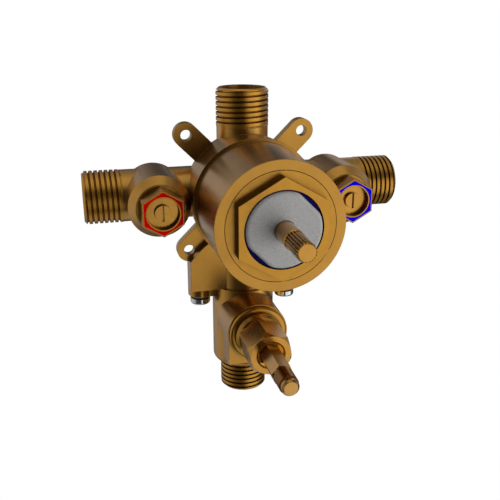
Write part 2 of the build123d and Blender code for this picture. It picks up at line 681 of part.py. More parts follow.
def stop_plunger(side):
    """Round plunger that the stop screw pushes to the seat."""
    x = side * STOP_X
    plunger = rod_y(STOP_PLUNGER_RADIUS, STOP_PLUNGER_FRONT_Y, STOP_PLUNGER_BACK_Y, x)
    socket_back = STOP_PLUNGER_FRONT_Y + STOP_SPIGOT_LENGTH + STOP_SPIGOT_CLEARANCE
    return plunger - rod_y(
        STOP_SPIGOT_RADIUS + STOP_SPIGOT_CLEARANCE, STOP_PLUNGER_FRONT_Y, socket_back, x
    )


def stop_washer(side):
    """Rubber seat washer on the plunger."""
    return rod_y(STOP_WASHER_RADIUS, STOP_PLUNGER_BACK_Y, STOP_WASHER_BACK_Y, side * STOP_X)


def channel_screw(side):
    """Chromed screw under a lower block, with a rounded slotted head."""
    x = side * SCREW_X
    head_top = SCREW_BOSS_BOTTOM_Z - SCREW_WASHER_HEIGHT
    head = rod_z(SCREW_HEAD_RADIUS, head_top - SCREW_HEAD_HEIGHT, head_top, x)
    lower_edge = head.edges().filter_by(GeomType.CIRCLE).sort_by(Axis.Z)[0]
    head = fillet(lower_edge, SCREW_HEAD_ROUND)
    slot_bottom = head_top - SCREW_HEAD_HEIGHT
    head -= box_between(
        (x - SCREW_HEAD_RADIUS, PIPE_Y - SCREW_SLOT_WIDTH / 2, slot_bottom),
        (x + SCREW_HEAD_RADIUS, PIPE_Y + SCREW_SLOT_WIDTH / 2, slot_bottom + SCREW_SLOT_DEPTH),
    )
    shank_top = SCREW_BOSS_BOTTOM_Z + SCREW_THREAD_LENGTH - SCREW_END_ROOM
    return head + rod_z(SCREW_THREAD_RADIUS, head_top, shank_top, x)


def channel_washer(side):
    """Seal washer between a channel screw and its boss."""
    x = side * SCREW_X
    bottom = SCREW_BOSS_BOTTOM_Z - SCREW_WASHER_HEIGHT
    washer = rod_z(SCREW_WASHER_RADIUS, bottom, SCREW_BOSS_BOTTOM_Z, x)
    return washer - rod_z(SCREW_THREAD_RADIUS, bottom, SCREW_BOSS_BOTTOM_Z, x)


def diverter_gland():
    """Brass ring in the mouth of the diverter boss, round the bonnet's collar, with a rounded rim."""
    seat = BOSS_FRONT_Y + BOSS_RECESS_DEPTH
    ring = rod_y(GLAND_RADIUS, GLAND_FRONT_Y, seat, 0, DIVERTER_Z)
    ring = fillet(ring.edges().filter_by(GeomType.CIRCLE).sort_by(Axis.Y)[0], GLAND_ROUND)
    ring -= rod_y(COLLAR_RADIUS + THREAD_CLEARANCE, GLAND_FRONT_Y, seat, 0, DIVERTER_Z)
    return ring - rod_y(GLAND_MOUTH_RADIUS, GLAND_FRONT_Y, GLAND_FRONT_Y + GLAND_MOUTH_DEPTH, 0, DIVERTER_Z)


def diverter_bonnet():
    """Hexagonal bonnet with a round collar, a coned front and a countersunk bore."""
    seat = BOSS_FRONT_Y + BOSS_RECESS_DEPTH
    hexagon = hex_bar(BONNET_HEX_RADIUS, BONNET_FRONT_Y, COLLAR_FRONT_Y, HEX_TURN, z=DIVERTER_Z)
    envelope = turned_y(
        [
            (0, BONNET_FRONT_Y),
            (BONNET_FACE_RADIUS, BONNET_FRONT_Y),
            (BONNET_HEX_RADIUS, BONNET_HEX_SHOULDER_Y),
            (BONNET_HEX_RADIUS, COLLAR_FRONT_Y - BONNET_BACK_LENGTH),
            (BONNET_BACK_RADIUS, COLLAR_FRONT_Y),
            (0, COLLAR_FRONT_Y),
        ],
        z=DIVERTER_Z,
    )
    bonnet = hexagon & envelope
    bonnet += turned_y(
        [
            (0, COLLAR_FRONT_Y),
            (COLLAR_RADIUS - COLLAR_CHAMFER, COLLAR_FRONT_Y),
            (COLLAR_RADIUS, COLLAR_FRONT_Y + COLLAR_CHAMFER),
            (COLLAR_RADIUS, seat),
            (0, seat),
        ],
        z=DIVERTER_Z,
    )
    bonnet += rod_y(BONNET_THREAD_RADIUS - THREAD_CLEARANCE, seat, BONNET_SHANK_END_Y, 0, DIVERTER_Z)
    bonnet -= turned_y(
        [
            (0, BONNET_FRONT_Y),
            (BONNET_MOUTH_RADIUS, BONNET_FRONT_Y),
            (BONNET_HOLE_RADIUS, BONNET_FRONT_Y + BONNET_MOUTH_DEPTH),
            (BONNET_HOLE_RADIUS, BONNET_BORE_FRONT_Y),
            (BONNET_BORE_RADIUS, BONNET_BORE_FRONT_Y),
            (BONNET_BORE_RADIUS, BONNET_SHANK_END_Y),
            (0, BONNET_SHANK_END_Y),
        ],
        z=DIVERTER_Z,
    )
    return bonnet


def diverter_spindle():
    """Spindle: round part with a seal groove in the bonnet, a neck, then a hexagon and a threaded tip."""
    spindle = rod_y(SPINDLE_FLANGE_RADIUS, SPINDLE_FLANGE_FRONT_Y, PLUG_FRONT_Y, 0, DIVERTER_Z)
    spindle += rod_y(SPINDLE_RADIUS, SPINDLE_FRONT_Y, SPINDLE_FLANGE_FRONT_Y, 0, DIVERTER_Z)
    spindle += rod_y(SPINDLE_NECK_RADIUS, SPINDLE_HEX_BACK_Y, SPINDLE_FRONT_Y, 0, DIVERTER_Z)
    spindle += hex_bar(
        SPINDLE_HEX_RADIUS, SPINDLE_HEX_FRONT_Y, SPINDLE_HEX_BACK_Y, SPINDLE_HEX_TURN, z=DIVERTER_Z
    )
    spindle += turned_y(
        [
            (0, SPINDLE_TIP_FRONT_Y),
            (SPINDLE_END_RADIUS - SPINDLE_TIP_CHAMFER, SPINDLE_TIP_FRONT_Y),
            (SPINDLE_END_RADIUS, SPINDLE_TIP_FRONT_Y + SPINDLE_TIP_CHAMFER),
            (SPINDLE_END_RADIUS, SPINDLE_THREAD_END_Y),
            (SPINDLE_TIP_RADIUS, SPINDLE_THREAD_END_Y + SPINDLE_THREAD_CHAMFER),
            (SPINDLE_TIP_RADIUS, SPINDLE_HEX_FRONT_Y),
            (0, SPINDLE_HEX_FRONT_Y),
        ],
        z=DIVERTER_Z,
    )
    front = SPINDLE_GROOVE_Y - BONNET_SEAL_SECTION
    back = SPINDLE_GROOVE_Y + BONNET_SEAL_SECTION
    groove = rod_y(SPINDLE_RADIUS + CUT_EXTRA, front, back, 0, DIVERTER_Z)
    groove -= rod_y(SPINDLE_RADIUS - 2 * BONNET_SEAL_SECTION, front, back, 0, DIVERTER_Z)
    tang = box_between(
        (-PLUG_TANG_LENGTH / 2, PLUG_FRONT_Y, DIVERTER_Z - TANG_WIDTH / 2),
        (PLUG_TANG_LENGTH / 2, PLUG_FRONT_Y + TANG_DEPTH, DIVERTER_Z + TANG_WIDTH / 2),
    )
    return spindle - groove + tang


def diverter_plug():
    """Turning plug with a cross bore, open to the bottom outlet at rest."""
    plug = rod_y(PLUG_RADIUS, PLUG_FRONT_Y, PLUG_BACK_Y, 0, DIVERTER_Z)
    plug -= rod_z(MIXED_RADIUS, DIVERTER_Z - 2 * PLUG_RADIUS, DIVERTER_Z + 2 * PLUG_RADIUS)
    return plug - box_between(
        (-PLUG_TANG_LENGTH / 2, PLUG_FRONT_Y, DIVERTER_Z - TANG_WIDTH / 2),
        (PLUG_TANG_LENGTH / 2, PLUG_FRONT_Y + TANG_DEPTH, DIVERTER_Z + TANG_WIDTH / 2),
    )


def port_seal(x, z):
    """Rubber ring between the cartridge base and the cavity floor."""
    seal = rod_y(PORT_SEAL_RADIUS, HOUSING_BACK_Y, CAVITY_FLOOR_Y, x, z)
    return seal - rod_y(PORT_RADIUS, HOUSING_BACK_Y, CAVITY_FLOOR_Y, x, z)


def build_nodes():
    """Every sub-part by its node name."""
    nodes = {
        "valve_body": valve_body(),
        "diverter_body": diverter_body(),
        "retaining_nut": retaining_nut(),
        "cartridge_housing": cartridge_housing(),
        "cartridge_cap": cartridge_cap(),
        "cartridge_base": ported_disc(BASE_FRONT_Y, HOUSING_BACK_Y),
        "balance_block": balance_block(),
        "balance_sleeve": balance_sleeve(),
        "balance_spool": balance_spool(),
        "port_disc": ported_disc(PORT_DISC_FRONT_Y, BALANCE_FRONT_Y),
        "rotor_disc": rotor_disc(),
        "cartridge_stem": cartridge_stem(),
        "hot_port_seal": port_seal(-PORT_X, 0),
        "cold_port_seal": port_seal(PORT_X, 0),
        "mixed_port_seal": port_seal(0, MIXED_PORT_Z),
        "stem_seal": ring_y(STEM_GROOVE_RADIUS - 2 * RING_SECTION, RING_SECTION, STEM_GROOVE_Y),
        "diverter_gland": diverter_gland(),
        "diverter_bonnet": diverter_bonnet(),
        "diverter_spindle": diverter_spindle(),
        "diverter_plug": diverter_plug(),
        "spindle_seal": ring_y(
            SPINDLE_RADIUS - 2 * BONNET_SEAL_SECTION, BONNET_SEAL_SECTION, SPINDLE_GROOVE_Y, z=DIVERTER_Z
        ),
    }
    for place, y in zip(("front", "rear"), HOUSING_GROOVES_Y):
        inner = HOUSING_RADIUS - HOUSING_GROOVE_DEPTH
        nodes[f"housing_seal_{place}"] = ring_y(inner, RING_SECTION, y)
    for name, side in (("hot", -1), ("cold", 1)):
        nodes[f"{name}_stop_cap"] = stop_cap(side)
        nodes[f"{name}_stop_mark"] = stop_mark(side)
        nodes[f"{name}_stop_screw"] = stop_screw(side)
        nodes[f"{name}_stop_plunger"] = stop_plunger(side)
        nodes[f"{name}_stop_washer"] = stop_washer(side)
    for name, side in (("left", -1), ("right", 1)):
        nodes[f"{name}_channel_screw"] = channel_screw(side)
        nodes[f"{name}_channel_washer"] = channel_washer(side)
    return nodes


os.makedirs("parts", exist_ok=True)
for node_name, shape in build_nodes().items():
    shape.label = node_name
    export_step(shape, f"parts/{node_name}.step")
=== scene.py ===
"""Looks of the pressure balancing shower valve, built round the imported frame."""
import json
import math

import bmesh
import bpy
from mathutils import Matrix, Vector


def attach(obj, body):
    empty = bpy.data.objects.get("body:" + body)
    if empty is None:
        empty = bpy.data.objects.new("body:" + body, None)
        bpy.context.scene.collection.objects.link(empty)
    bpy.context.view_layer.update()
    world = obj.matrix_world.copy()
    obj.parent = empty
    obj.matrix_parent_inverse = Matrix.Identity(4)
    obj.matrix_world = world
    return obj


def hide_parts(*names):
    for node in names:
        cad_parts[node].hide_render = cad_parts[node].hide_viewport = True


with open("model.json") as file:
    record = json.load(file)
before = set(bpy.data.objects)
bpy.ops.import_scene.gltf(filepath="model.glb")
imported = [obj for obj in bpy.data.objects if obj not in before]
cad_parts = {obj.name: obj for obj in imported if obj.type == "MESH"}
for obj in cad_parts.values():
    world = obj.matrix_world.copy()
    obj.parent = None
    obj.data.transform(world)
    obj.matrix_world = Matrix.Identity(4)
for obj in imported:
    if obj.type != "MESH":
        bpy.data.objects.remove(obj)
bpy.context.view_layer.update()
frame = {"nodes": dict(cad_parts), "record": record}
nodes = frame["nodes"]
MM = 0.001
STEPS = 96

# Axes, in millimetres: the plane of the four pipes and the height of the diverter
PIPE_Y = 0.6
DIVERTER_Z = -55.0

# Threads: share is the groove's part of the pitch, room how far the cutter stands over the crest
PITCH = 2.02
GROOVE_DEPTH = 0.85
GROOVE_SHARE = 0.42
ROOM = 0.012
ARM_THREAD_START = 50.2
ARM_END = 65.4
TOP_THREAD_START = 26.9
TOP_END = 41.7
OUTLET_START = 78.2
OUTLET_END = 91.2
PIPE_CREST = 10.65
OUTLET_CREST = 10.05
END_BAND = 1.1
TIP_PITCH = 0.72
TIP_DEPTH = 0.32
TIP_START = 61.7
TIP_END = 69.8
TIP_CREST = 3.75

# Rings on the diverter's axis, and the stop caps' collars, measured forward
GLAND_INNER = 9.91
GLAND_OUTER = 12.0
GLAND_BACK = 24.45
GLAND_FRONT = 26.9
GLAND_ROUND = 1.3
COUNTERSINK = ((5.24, 45.18), (5.24, 42.9), (3.1, 42.9), (3.1, 44.2))
COLLAR_TOP = 23.72
COLLAR_END = 26.6


# Mesh helpers

def add_object(name, mesh):
    """New object in the scene from a mesh."""
    obj = bpy.data.objects.new(name, mesh)
    bpy.context.scene.collection.objects.link(obj)
    return obj


def mesh_from(name, points, faces):
    """Mesh from points in millimetres and faces."""
    mesh = bpy.data.meshes.new(name)
    mesh.from_pydata([Vector(p) * MM for p in points], [], faces)
    mesh.update()
    return mesh


def welded_copy(node, name):
    """Copy of a CAD node whose split edges are joined again, so that it is one closed surface."""
    mesh = nodes[node].data.copy()
    mesh.name = name
    work = bmesh.new()
    work.from_mesh(mesh)
    bmesh.ops.remove_doubles(work, verts=work.verts, dist=0.002 * MM)
    bmesh.ops.dissolve_degenerate(work, edges=work.edges, dist=0.0005 * MM)
    work.to_mesh(mesh)
    work.free()
    if mesh.has_custom_normals:
        mesh.attributes.remove(mesh.attributes["custom_normal"])
    return add_object(name, mesh)


def soften(obj, angle=28.0):
    """Smooth shading with sharp edges kept where faces meet at more than the angle."""
    mesh = obj.data
    mesh.polygons.foreach_set("use_smooth", [True] * len(mesh.polygons))
    mesh.set_sharp_from_angle(angle=math.radians(angle))


def apply_modifiers(obj):
    """Replace an object's mesh by the result of its modifiers."""
    depsgraph = bpy.context.evaluated_depsgraph_get()
    result = bpy.data.meshes.new_from_object(obj.evaluated_get(depsgraph), depsgraph=depsgraph)
    obj.modifiers.clear()
    obj.data = result


def helix_ring(crest, start, end, pitch, depth, outer, place):
    """Threaded ring as a regular helical grid, so that every quad follows the helix."""
    groove = pitch * GROOVE_SHARE
    flank = groove * 0.28
    marks = (
        (0.0, 0.0),
        (flank, depth),
        (groove - flank, depth),
        (groove, 0.0),
        ((groove + pitch) / 2, 0.0),
    )
    turns = int(math.ceil((end - start) / pitch)) + 2
    rows = turns * len(marks)
    grid = []
    for step in range(STEPS + 1):
        share_of_turn = step / STEPS
        column = []
        for row in range(rows):
            along, drop = marks[row % len(marks)]
            z = start + (row // len(marks) - 1 + share_of_turn) * pitch + along
            fade = min(1.0, max(0.0, (z - start) / (0.8 * pitch))) if z < end else 0.0
            column.append((min(max(z, start), end), crest - drop * fade))
        grid.append(column)
    points = []
    for step in range(STEPS):
        angle = 2 * math.pi * step / STEPS
        column = [(start, outer)] + grid[step] + [(end, outer)]
        points += [place(r * math.cos(angle), r * math.sin(angle), z) for z, r in column]
    faces = []
    size = rows + 2
    for step in range(STEPS):
        after = (step + 1) % STEPS
        shift = len(marks) if after == 0 else 0
        for row in range(size):
            below = (row + 1) % size
            quad = [step * size + row, step * size + below]
            other = []
            for index in (below, row):
                if 1 <= index <= rows:
                    moved = min(max(index - 1 + shift, 0), rows - 1) + 1
                else:
                    moved = index
                other.append(after * size + moved)
            faces.append(tuple(dict.fromkeys(quad + other)))
    faces = [face for face in faces if len(face) > 2]
    return points, faces


def cut_threads(obj, rings):
    """Cut the given (points, faces) rings from an object, one after another."""
    for points, faces in rings:
        mesh = mesh_from("cutter", points, faces)
        work = bmesh.new()
        work.from_mesh(mesh)
        bmesh.ops.remove_doubles(work, verts=work.verts, dist=0.0005 * MM)
        bmesh.ops.recalc_face_normals(work, faces=work.faces)
        work.to_mesh(mesh)
        work.free()
        cutter = add_object("cutter", mesh)
        modifier = obj.modifiers.new("threads", "BOOLEAN")
        modifier.operation = "DIFFERENCE"
        modifier.solver = "EXACT"
        modifier.object = cutter
        apply_modifiers(obj)
        bpy.data.objects.remove(cutter)


def along_left(x, y, z):
    """Local ring axis to the left."""
    return (-z, PIPE_Y + y, x)


def along_right(x, y, z):
    """Local ring axis to the right."""
    return (z, PIPE_Y + y, -x)


def along_up(x, y, z):
    """Local ring axis up."""
    return (x, PIPE_Y + y, z)


def along_down(x, y, z):
    """Local ring axis down."""
    return (x, PIPE_Y - y, -z)


def along_front(x, y, z):
    """Local ring axis to the front, on the diverter's axis."""
    return (x, -z, DIVERTER_Z + y)


# Materials

# Added to the normal, so that the painted shade is darkest in recesses up and to the left of what stands
# out
SHADE_LEAN = (0.35, 0.0, -0.25)


def new_material(name):
    """Empty node material with its output and Principled shader."""
    material = bpy.data.materials.new(name)
    material.use_nodes = True
    tree = material.node_tree
    return material, tree, tree.nodes["Principled BSDF"]


def noise(tree, size, detail=4.0):
    """Noise over object coordinates, with features of the given size in millimetres."""
    coords = tree.nodes.new("ShaderNodeTexCoord")
    texture = tree.nodes.new("ShaderNodeTexNoise")
    texture.inputs["Scale"].default_value = 1.0 / (size * MM)
    texture.inputs["Detail"].default_value = detail
    tree.links.new(coords.outputs["Object"], texture.inputs["Vector"])
    return texture.outputs["Fac"]


def ranged(tree, value, low, high):
    """Map the usual middle of a noise to the range from low to high."""
    node = tree.nodes.new("ShaderNodeMapRange")
    node.inputs["From Min"].default_value = 0.3
    node.inputs["From Max"].default_value = 0.7
    node.inputs["To Min"].default_value = low
    node.inputs["To Max"].default_value = high
    tree.links.new(value, node.inputs["Value"])
    return node.outputs["Result"]


def mixed(tree, factor, first, second):
    """Colour between two others by a factor."""
    node = tree.nodes.new("ShaderNodeMix")
    node.data_type = "RGBA"
    tree.links.new(factor, node.inputs["Factor"])
    node.inputs[6].default_value = (*first, 1.0)
    node.inputs[7].default_value = (*second, 1.0)
    return node.outputs[2]


def painted_recess_shade(tree, colour, dark, reach, full, clear):
    """Mix painted shade into a colour in recesses found by leaned occlusion, fully at one level of openness
    and not at all at the other.

    reach is how far the occlusion looks, in millimetres.
    """
    normal = tree.nodes.new("ShaderNodeNewGeometry")
    leaned = tree.nodes.new("ShaderNodeVectorMath")
    leaned.operation = "ADD"
    leaned.inputs[1].default_value = SHADE_LEAN
    tree.links.new(normal.outputs["Normal"], leaned.inputs[0])
    hidden = tree.nodes.new("ShaderNodeAmbientOcclusion")
    hidden.samples = 16
    hidden.inputs["Distance"].default_value = reach * MM
    tree.links.new(leaned.outputs["Vector"], hidden.inputs["Normal"])
    span = tree.nodes.new("ShaderNodeMapRange")
    span.interpolation_type = "SMOOTHSTEP"
    span.inputs["From Min"].default_value = full
    span.inputs["From Max"].default_value = clear
    tree.links.new(hidden.outputs["AO"], span.inputs["Value"])
    node = tree.nodes.new("ShaderNodeMix")
    node.data_type = "RGBA"
    tree.links.new(span.outputs["Result"], node.inputs["Factor"])
    node.inputs[6].default_value = (*dark, 1.0)
    tree.links.new(colour, node.inputs[7])
    return node.outputs[2]


def surface(name, low, high, rough, metallic, patch, grain, depth, bevel, recess_shade=None, **extra):
    """Principled material with patchy colour and roughness, a fine grain and optional painted shade in
    recesses.

    patch and grain are the sizes of the two noises, depth is the grain's height and bevel the
    rounding of edges, all in millimetres.
    """
    material, tree, shader = new_material(name)
    broad = noise(tree, patch)
    colour = mixed(tree, ranged(tree, broad, 0.0, 1.0), low, high)
    # Optional painted shade: a darker colour mixed in where leaned occlusion finds recesses
    if recess_shade:
        colour = painted_recess_shade(tree, colour, *recess_shade)
    tree.links.new(colour, shader.inputs["Base Color"])
    middle = noise(tree, patch * 0.4, 6.0)
    tree.links.new(ranged(tree, middle, *rough), shader.inputs["Roughness"])
    shader.inputs["Metallic"].default_value = metallic
    for socket, value in extra.items():
        shader.inputs[socket.replace("_", " ")].default_value = value
    bump = tree.nodes.new("ShaderNodeBump")
    bump.inputs["Strength"].default_value = 1.0
    bump.inputs["Distance"].default_value = depth * MM
    tree.links.new(noise(tree, grain, 3.0), bump.inputs["Height"])
    if bevel:
        rounding = tree.nodes.new("ShaderNodeBevel")
        rounding.samples = 6
        rounding.inputs["Radius"].default_value = bevel * MM
        tree.links.new(rounding.outputs["Normal"], bump.inputs["Normal"])
    tree.links.new(bump.outputs["Normal"], shader.inputs["Normal"])
    return material


# A tuple after the bevel is painted shade in recesses: dark colour, reach in millimetres, and the openness
# at which it is full and clear
CAST = surface("cast_brass_satin", (0.52, 0.247, 0.018), (0.60, 0.286, 0.024), (0.27, 0.30), 1.0,
               9.0, 0.4, 0.0003, 0.3, ((0.40, 0.20, 0.02), 5.0, 0.30, 0.90),
               Coat_Weight=0.8, Coat_Roughness=0.33, Coat_IOR=1.55)
THREAD = surface("cut_thread_brass", (0.58, 0.28, 0.022), (0.64, 0.31, 0.028), (0.34, 0.38), 1.0,
                 6.0, 0.4, 0.0, 0.0,
                 Coat_Weight=0.6, Coat_Roughness=0.3, Coat_IOR=1.5)
# Painted shade: a darker copy of the brass for the thread grooves
GROOVE = surface("thread_groove_painted_shade", (0.20, 0.064, 0.008), (0.24, 0.080, 0.010), (0.34, 0.38), 1.0,
                 6.0, 0.4, 0.0, 0.0)
# Painted shade in recesses, reaching 8 mm
TURNED = surface("turned_brass_satin", (0.57, 0.27, 0.019), (0.64, 0.305, 0.025), (0.29, 0.34), 1.0,
                 6.0, 0.35, 0.0, 0.15, ((0.42, 0.21, 0.02), 8.0, 0.30, 0.94),
                 Coat_Weight=0.6, Coat_Roughness=0.28, Coat_IOR=1.5)
# Painted shade in recesses, reaching 6 mm
SHADED = surface("stop_cap_brass", (0.53, 0.25, 0.018), (0.60, 0.285, 0.024), (0.26, 0.32), 1.0,
                 6.0, 0.35, 0.0, 0.15, ((0.42, 0.21, 0.024), 6.0, 0.45, 0.93),
                 Coat_Weight=0.6, Coat_Roughness=0.28, Coat_IOR=1.5)
BARE = surface("bare_turned_brass", (0.56, 0.265, 0.022), (0.62, 0.296, 0.028), (0.22, 0.28), 1.0,
               6.0, 0.35, 0.0, 0.12, Coat_Weight=0.8, Coat_Roughness=0.28, Coat_IOR=1.55)
# Light painted shade in recesses, reaching 0.7 mm
CLEAN = surface("clean_turned_brass", (0.56, 0.265, 0.022), (0.62, 0.296, 0.028), (0.22, 0.28), 1.0,
                6.0, 0.35, 0.0, 0.12, ((0.28, 0.145, 0.018), 0.7, 0.25, 0.80),
                Coat_Weight=0.8, Coat_Roughness=0.28, Coat_IOR=1.55)
FINE = surface("fine_thread_brass", (0.40, 0.165, 0.016), (0.46, 0.19, 0.020), (0.22, 0.28), 1.0,
               3.0, 0.35, 0.0, 0.0, Coat_Weight=0.4, Coat_Roughness=0.3, Coat_IOR=1.5)
PALE = surface("pale_polished_brass", (0.57, 0.285, 0.032), (0.63, 0.315, 0.04), (0.22, 0.28), 1.0,
               6.0, 0.35, 0.0, 0.12, Coat_Weight=1.0, Coat_Roughness=0.28, Coat_IOR=1.65)
# Painted light: a brighter copy of the brass on the bonnet's countersink, lifting it out of the shade of
# its recess
SEAT = surface("countersink_brass_painted_light", (0.76, 0.45, 0.06), (0.82, 0.49, 0.08), (0.30, 0.36), 1.0,
               6.0, 0.35, 0.0, 0.0)
NAVY = surface("navy_moulded_plastic", (0.0, 0.0, 0.075), (0.0, 0.0, 0.10), (0.35, 0.42), 0.0,
               4.0, 0.3, 0.002, 0.2, Specular_IOR_Level=0.05)
GREY = surface("grey_rough_plastic", (0.31, 0.308, 0.305), (0.47, 0.467, 0.462), (0.5, 0.62), 0.0,
               0.4, 0.3, 0.03, 0.25)
RED = surface("red_enamel", (0.72, 0.0, 0.0), (0.76, 0.001, 0.0), (0.3, 0.4), 0.0,
              2.0, 0.3, 0.001, 0.0, Specular_IOR_Level=0.02)
BLUE = surface("blue_enamel", (0.0, 0.0, 0.74), (0.0, 0.0, 0.78), (0.3, 0.4), 0.0,
               2.0, 0.3, 0.001, 0.0, Specular_IOR_Level=0.02)
CHROME = surface("chromed_steel", (0.72, 0.73, 0.75), (0.8, 0.81, 0.83), (0.07, 0.13), 1.0,
                 3.0, 0.3, 0.0005, 0.2)
STEEL = surface("ground_steel", (0.5, 0.5, 0.49), (0.6, 0.6, 0.59), (0.25, 0.35), 1.0,
                3.0, 0.2, 0.001, 0.15)
RUBBER = surface("black_rubber", (0.012, 0.012, 0.012), (0.022, 0.022, 0.022), (0.5, 0.62), 0.0,
                 2.0, 0.25, 0.004, 0.1)
CERAMIC = surface("white_ceramic", (0.78, 0.77, 0.73), (0.84, 0.83, 0.79), (0.15, 0.22), 0.0,
                  3.0, 0.3, 0.001, 0.15)
INNER = surface("white_moulded_plastic", (0.74, 0.74, 0.71), (0.8, 0.8, 0.77), (0.38, 0.48), 0.0,
                3.0, 0.3, 0.002, 0.2)

FINISHES = {
    "cast_brass": CAST,
    "turned_brass": TURNED,
    "navy_plastic": NAVY,
    "grey_plastic": GREY,
    "inner_plastic": INNER,
    "inner_steel": STEEL,
    "white_ceramic": CERAMIC,
    "black_rubber": RUBBER,
    "red_ring": RED,
    "blue_ring": BLUE,
    "chrome_screw": CHROME,
}


def paint(obj, material, threads=(), region=None):
    """Give the object one material, and the thread materials to the faces that region picks."""
    mesh = obj.data
    mesh.materials.clear()
    mesh.materials.append(material)
    for extra in threads:
        mesh.materials.append(extra)
    if region:
        for face in mesh.polygons:
            face.material_index = region(*(face.center / MM))


def pipe_axis(x, y, z):
    """Axis of the threaded pipe nearest to a point, or of the spindle for a point far in front."""
    if -y > TIP_START:
        return Vector((0, 0, DIVERTER_Z)) * MM, Vector((0, 1, 0))
    if abs(x) > ARM_THREAD_START:
        return Vector((0, PIPE_Y, 0)) * MM, Vector((1, 0, 0))
    return Vector((0, PIPE_Y, 0)) * MM, Vector((0, 0, 1))


def round_threads(obj):
    """Shade the thread faces as true rounds about their axes."""
    mesh = obj.data
    normals = [corner.vector.copy() for corner in mesh.corner_normals]
    for face in mesh.polygons:
        if face.material_index == 0:
            continue
        origin, direction = pipe_axis(*(face.center / MM))
        along = face.normal.dot(direction)
        outward = face.center - origin
        outward -= outward.dot(direction) * direction
        across = math.copysign(math.sqrt(max(0.0, 1.0 - along * along)), face.normal.dot(outward))
        for index in face.loop_indices:
            radial = mesh.vertices[mesh.loops[index].vertex_index].co - origin
            radial -= radial.dot(direction) * direction
            normals[index] = radial.normalized() * across + direction * along
    mesh.normals_split_custom_set(normals)


OWN_FINISHES = {
    "hot_stop_screw": CLEAN,
    "cold_stop_screw": CLEAN,
    "cartridge_stem": CLEAN,
    "diverter_bonnet": BARE,
}

for part in frame["record"]["subparts"]:
    obj = nodes[part["node"]]
    finish = OWN_FINISHES.get(part["node"], FINISHES[part["material_slot"]])
    for holder in obj.material_slots:
        holder.material = finish


# Threaded castings and spindle tip

def ring(crest, start, end, place, pitch=PITCH, depth=GROOVE_DEPTH):
    """Thread cutter for one threaded end, a hair over its crest."""
    return helix_ring(crest + ROOM, start, end, pitch, depth, crest + 2.0, place)


valve = welded_copy("valve_body", "valve_casting")
cut_threads(valve, [
    ring(PIPE_CREST, ARM_THREAD_START, ARM_END + 1.0, along_left),
    ring(PIPE_CREST, ARM_THREAD_START, ARM_END + 1.0, along_right),
    ring(PIPE_CREST, TOP_THREAD_START, TOP_END + 1.0, along_up),
])
lower = welded_copy("diverter_body", "diverter_casting")
cut_threads(lower, [ring(OUTLET_CREST, OUTLET_START, OUTLET_END + 1.0, along_down)])
spindle = welded_copy("diverter_spindle", "threaded_spindle")
cut_threads(spindle, [
    ring(TIP_CREST, TIP_START, TIP_END, along_front, TIP_PITCH, TIP_DEPTH),
])


def thread_part(radius, crest, depth, to_end=END_BAND):
    """Material slot on a thread: 1 on the crests, the bore and the end band, 2 in the grooves, which take a
    darker brass as painted shade.
    """
    return 2 if to_end >= END_BAND and crest - depth - 0.05 < radius < crest - 0.15 * depth else 1


def valve_region(x, y, z):
    """Material slot at a point of the valve casting, which has three threaded ends."""
    y -= PIPE_Y
    if ARM_THREAD_START < abs(x) < ARM_END - 0.02:
        return thread_part(math.hypot(y, z), PIPE_CREST, GROOVE_DEPTH, ARM_END - abs(x))
    if TOP_THREAD_START < z < TOP_END - 0.02 and math.hypot(x, y) < PIPE_CREST + 0.1:
        return thread_part(math.hypot(x, y), PIPE_CREST, GROOVE_DEPTH, TOP_END - z)
    return 0


def outlet_region(x, y, z):
    """Material slot at a point of the diverter casting, which has one threaded end."""
    if OUTLET_START < -z < OUTLET_END - 0.02:
        return thread_part(math.hypot(x, y - PIPE_Y), OUTLET_CREST, GROOVE_DEPTH, OUTLET_END + z)
    return 0


def tip_region(x, y, z):
    """Material slot at a point of the spindle, which has a fine thread on its tip."""
    if TIP_START < -y < TIP_END:
        return thread_part(math.hypot(x, z - DIVERTER_Z), TIP_CREST, TIP_DEPTH)
    return 0


def turned_ring(name, profile):
    """Closed ring on the diverter's axis from a (radius, forward) profile in millimetres."""
    points = []
    for step in range(STEPS):
        angle = 2 * math.pi * step / STEPS
        points += [along_front(r * math.cos(angle), r * math.sin(angle), z) for r, z in profile]
    size = len(profile)
    faces = []
    for step in range(STEPS):
        after = (step + 1) % STEPS
        for row in range(size):
            below = (row + 1) % size
            faces.append((step * size + row, step * size + below, after * size + below, after * size + row))
    mesh = mesh_from(name, points, faces)
    work = bmesh.new()
    work.from_mesh(mesh)
    bmesh.ops.recalc_face_normals(work, faces=work.faces)
    work.to_mesh(mesh)
    work.free()
    obj = add_object(name, mesh)
    soften(obj)
    return obj


def gland_profile():
    """Section of the gland as one broad rounded ring, in place of the plainer CAD ring."""
    profile = [(GLAND_INNER, GLAND_BACK), (GLAND_OUTER, GLAND_BACK)]
    for step in range(9):
        angle = math.pi / 2 * step / 8
        profile.append((
            GLAND_OUTER - GLAND_ROUND * (1 - math.cos(angle)),
            GLAND_FRONT - GLAND_ROUND * (1 - math.sin(angle)),
        ))
    profile.append((GLAND_INNER, GLAND_FRONT))
    return profile


def flat_collar(node, name):
    """Copy of a stop cap whose coned collar is laid flat on the boss, as the photo shows it."""
    obj = welded_copy(node, name)
    for vertex in obj.data.vertices:
        if COLLAR_TOP < -vertex.co.y / MM < COLLAR_END:
            vertex.co.y = -COLLAR_TOP * MM
    return obj


for side in ("hot", "cold"):
    cap = flat_collar(f"{side}_stop_cap", f"{side}_flat_cap")
    soften(cap)
    paint(cap, SHADED)
    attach(cap, "valve")
    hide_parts(f"{side}_stop_cap")

gland = turned_ring("gland_ring", gland_profile())
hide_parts("diverter_gland")
seat = turned_ring("bonnet_countersink", COUNTERSINK)
for obj, material in ((gland, TURNED), (seat, SEAT)):
    paint(obj, material)
    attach(obj, "valve")

